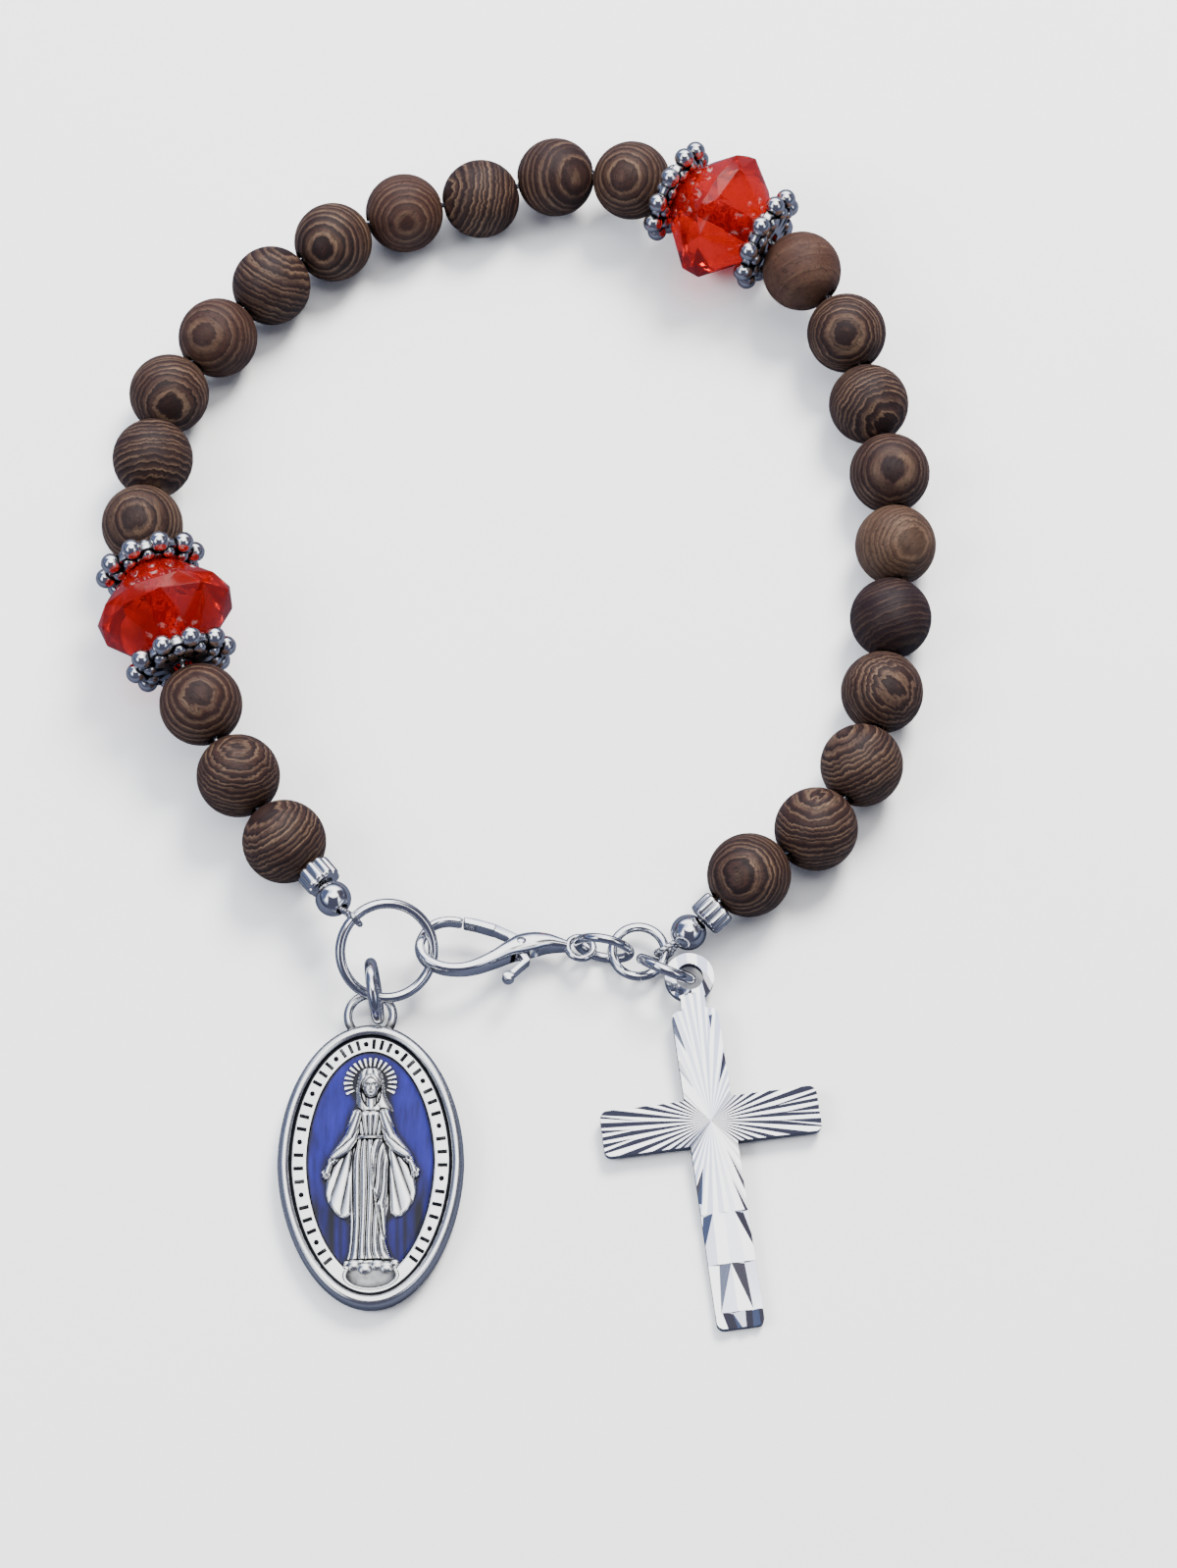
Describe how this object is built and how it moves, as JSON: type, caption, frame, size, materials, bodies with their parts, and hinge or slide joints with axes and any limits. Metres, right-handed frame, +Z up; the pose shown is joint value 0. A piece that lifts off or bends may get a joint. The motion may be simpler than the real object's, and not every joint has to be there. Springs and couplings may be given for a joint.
{
  "type": "rosary bracelet",
  "caption": "Bracelet of round banded wood beads and faceted crystals on a wire, closed by a lobster clasp, with an oval medal and a diamond-cut cross.",
  "frame": {"origin": "the middle of the whole piece, on the surface that it lies on", "axes": "+Z up from that surface, +Y from the medal and cross across the loop to its far side, +X to the right of someone who looks along +Y"},
  "size_m": [0.0602, 0.0912, 0.0098],
  "materials": {
    "wood": "satin, dark bands in brown",
    "crystal": "clear, facet-cut",
    "granulated_silver": "polished balls on darkened ground",
    "findings": "polished",
    "wire": "fine strands",
    "medal_silver": "oxidised, with bright high places",
    "enamel": "gloss",
    "cut_silver": "bright diamond cuts"
  },
  "bodies": {
    "bracelet": {"bead_01": "wood", "bead_02": "wood", "bead_03": "wood", "bead_04": "wood", "bead_05": "wood", "bead_06": "wood", "bead_07": "wood", "bead_08": "wood", "bead_09": "wood", "bead_10": "wood", "bead_11": "wood", "bead_12": "wood", "bead_13": "wood", "bead_14": "wood", "bead_15": "wood", "bead_16": "wood", "bead_17": "wood", "bead_18": "wood", "bead_19": "wood", "bead_20": "wood", "bead_21": "wood", "bead_22": "wood", "bead_23": "wood", "crystal_1": "crystal", "crystal_2": "crystal", "spacer_1": "granulated_silver", "spacer_2": "granulated_silver", "spacer_3": "granulated_silver", "spacer_4": "granulated_silver", "fluted_1": "findings", "fluted_2": "findings", "crimp_1": "findings", "crimp_2": "findings", "beading_wire": "wire", "big_ring": "findings", "medal_ring": "findings", "medal": "medal_silver", "enamel": "enamel", "clasp_body": "findings", "clasp_rivet": "findings", "link_1": "findings", "link_2": "findings", "cross_ring": "findings", "cross": "cut_silver"},
    "lever": {"clasp_lever": "findings"}
  },
  "joints": [
    {"name": "clasp_lever_hinge", "type": "hinge", "parent": "bracelet", "child": "lever", "pos_m": [0.00028, -0.01915, 0.00193], "axis": [0.1177, 0.279, 0.953], "range_deg": [0, 25], "stiffness_Nm_per_rad": 0.0005, "springref_deg": -11.46}
  ]
}
